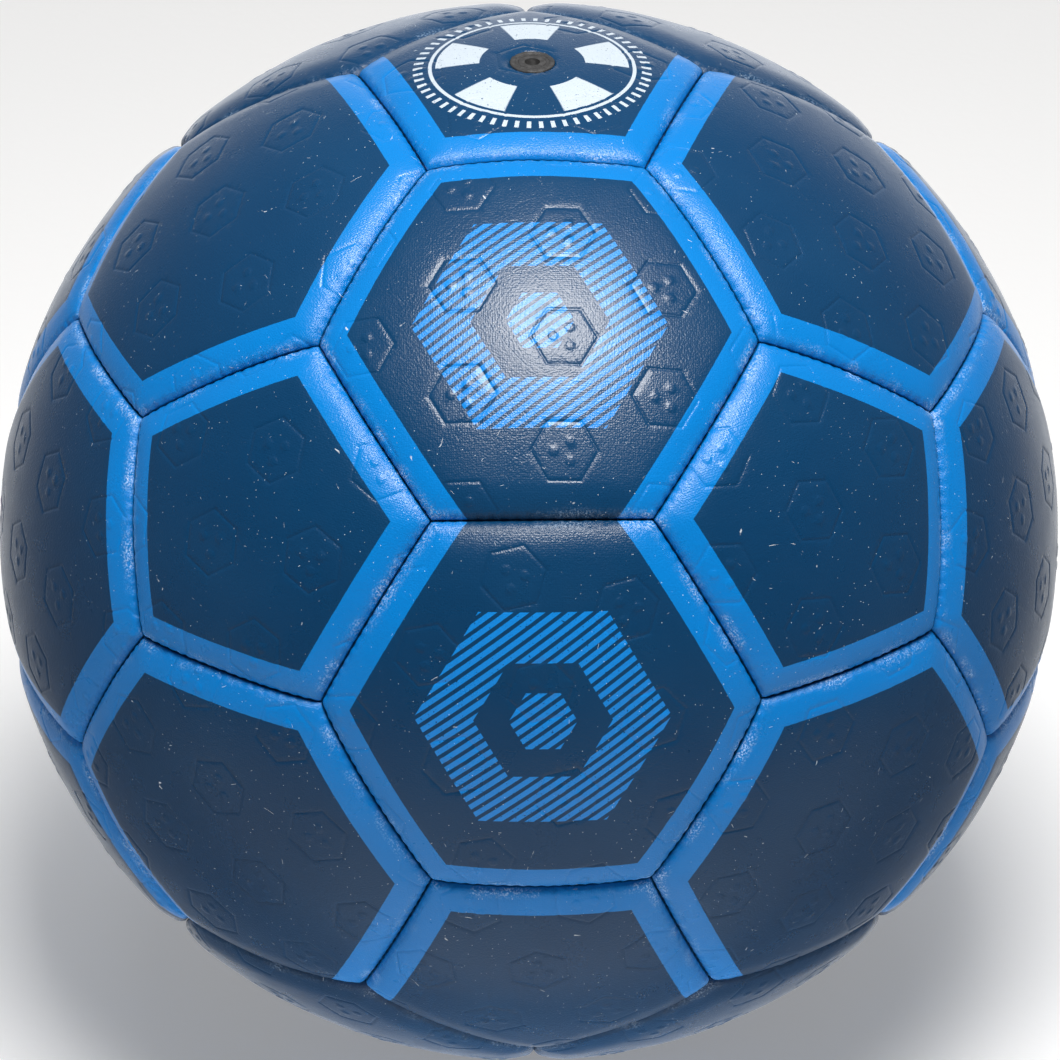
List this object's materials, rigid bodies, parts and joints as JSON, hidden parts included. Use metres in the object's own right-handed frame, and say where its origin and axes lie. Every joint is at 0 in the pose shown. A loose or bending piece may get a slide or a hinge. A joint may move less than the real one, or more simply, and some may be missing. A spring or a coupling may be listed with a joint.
{
  "type": "handball",
  "caption": "Hand-sewn handball: a sphere of pentagon and hexagon panels with rolled seams over foam, lining and an air bladder with a needle valve.",
  "frame": {"origin": "middle of the ball", "axes": "+Z through the valve, in the middle of a pentagon panel; -Y through the vertical plane of the front pair of hexagons"},
  "size_m": [0.175, 0.175, 0.1749],
  "materials": {
    "skin": "satin coated synthetic leather, navy with printed blue edge bands",
    "foam": "soft foam",
    "lining": "woven, matt",
    "thread": "waxed thread",
    "bladder": "matt",
    "valve_rubber": "matt"
  },
  "bodies": {
    "root": {"skin_pentagon_valve": "skin", "skin_pentagon_upper_1": "skin", "skin_pentagon_upper_2": "skin", "skin_pentagon_upper_3": "skin", "skin_pentagon_upper_4": "skin", "skin_pentagon_upper_5": "skin", "skin_pentagon_lower_1": "skin", "skin_pentagon_lower_2": "skin", "skin_pentagon_lower_3": "skin", "skin_pentagon_lower_4": "skin", "skin_pentagon_lower_5": "skin", "skin_pentagon_base": "skin", "skin_hexagon_top_1": "skin", "skin_hexagon_top_2": "skin", "skin_hexagon_top_3": "skin", "skin_hexagon_top_4": "skin", "skin_hexagon_top_5": "skin", "skin_hexagon_upper_1": "skin", "skin_hexagon_upper_2": "skin", "skin_hexagon_upper_3": "skin", "skin_hexagon_upper_4": "skin", "skin_hexagon_upper_5": "skin", "skin_hexagon_lower_1": "skin", "skin_hexagon_lower_2": "skin", "skin_hexagon_lower_3": "skin", "skin_hexagon_lower_4": "skin", "skin_hexagon_lower_5": "skin", "skin_hexagon_bottom_1": "skin", "skin_hexagon_bottom_2": "skin", "skin_hexagon_bottom_3": "skin", "skin_hexagon_bottom_4": "skin", "skin_hexagon_bottom_5": "skin", "foam_pentagons": "foam", "foam_hexagons": "foam", "lining_pentagons": "lining", "lining_hexagons": "lining", "thread_pentagon_seams": "thread", "thread_hexagon_seams": "thread", "bladder": "bladder", "valve_body": "valve_rubber", "valve_plug": "valve_rubber"}
  },
  "joints": []
}
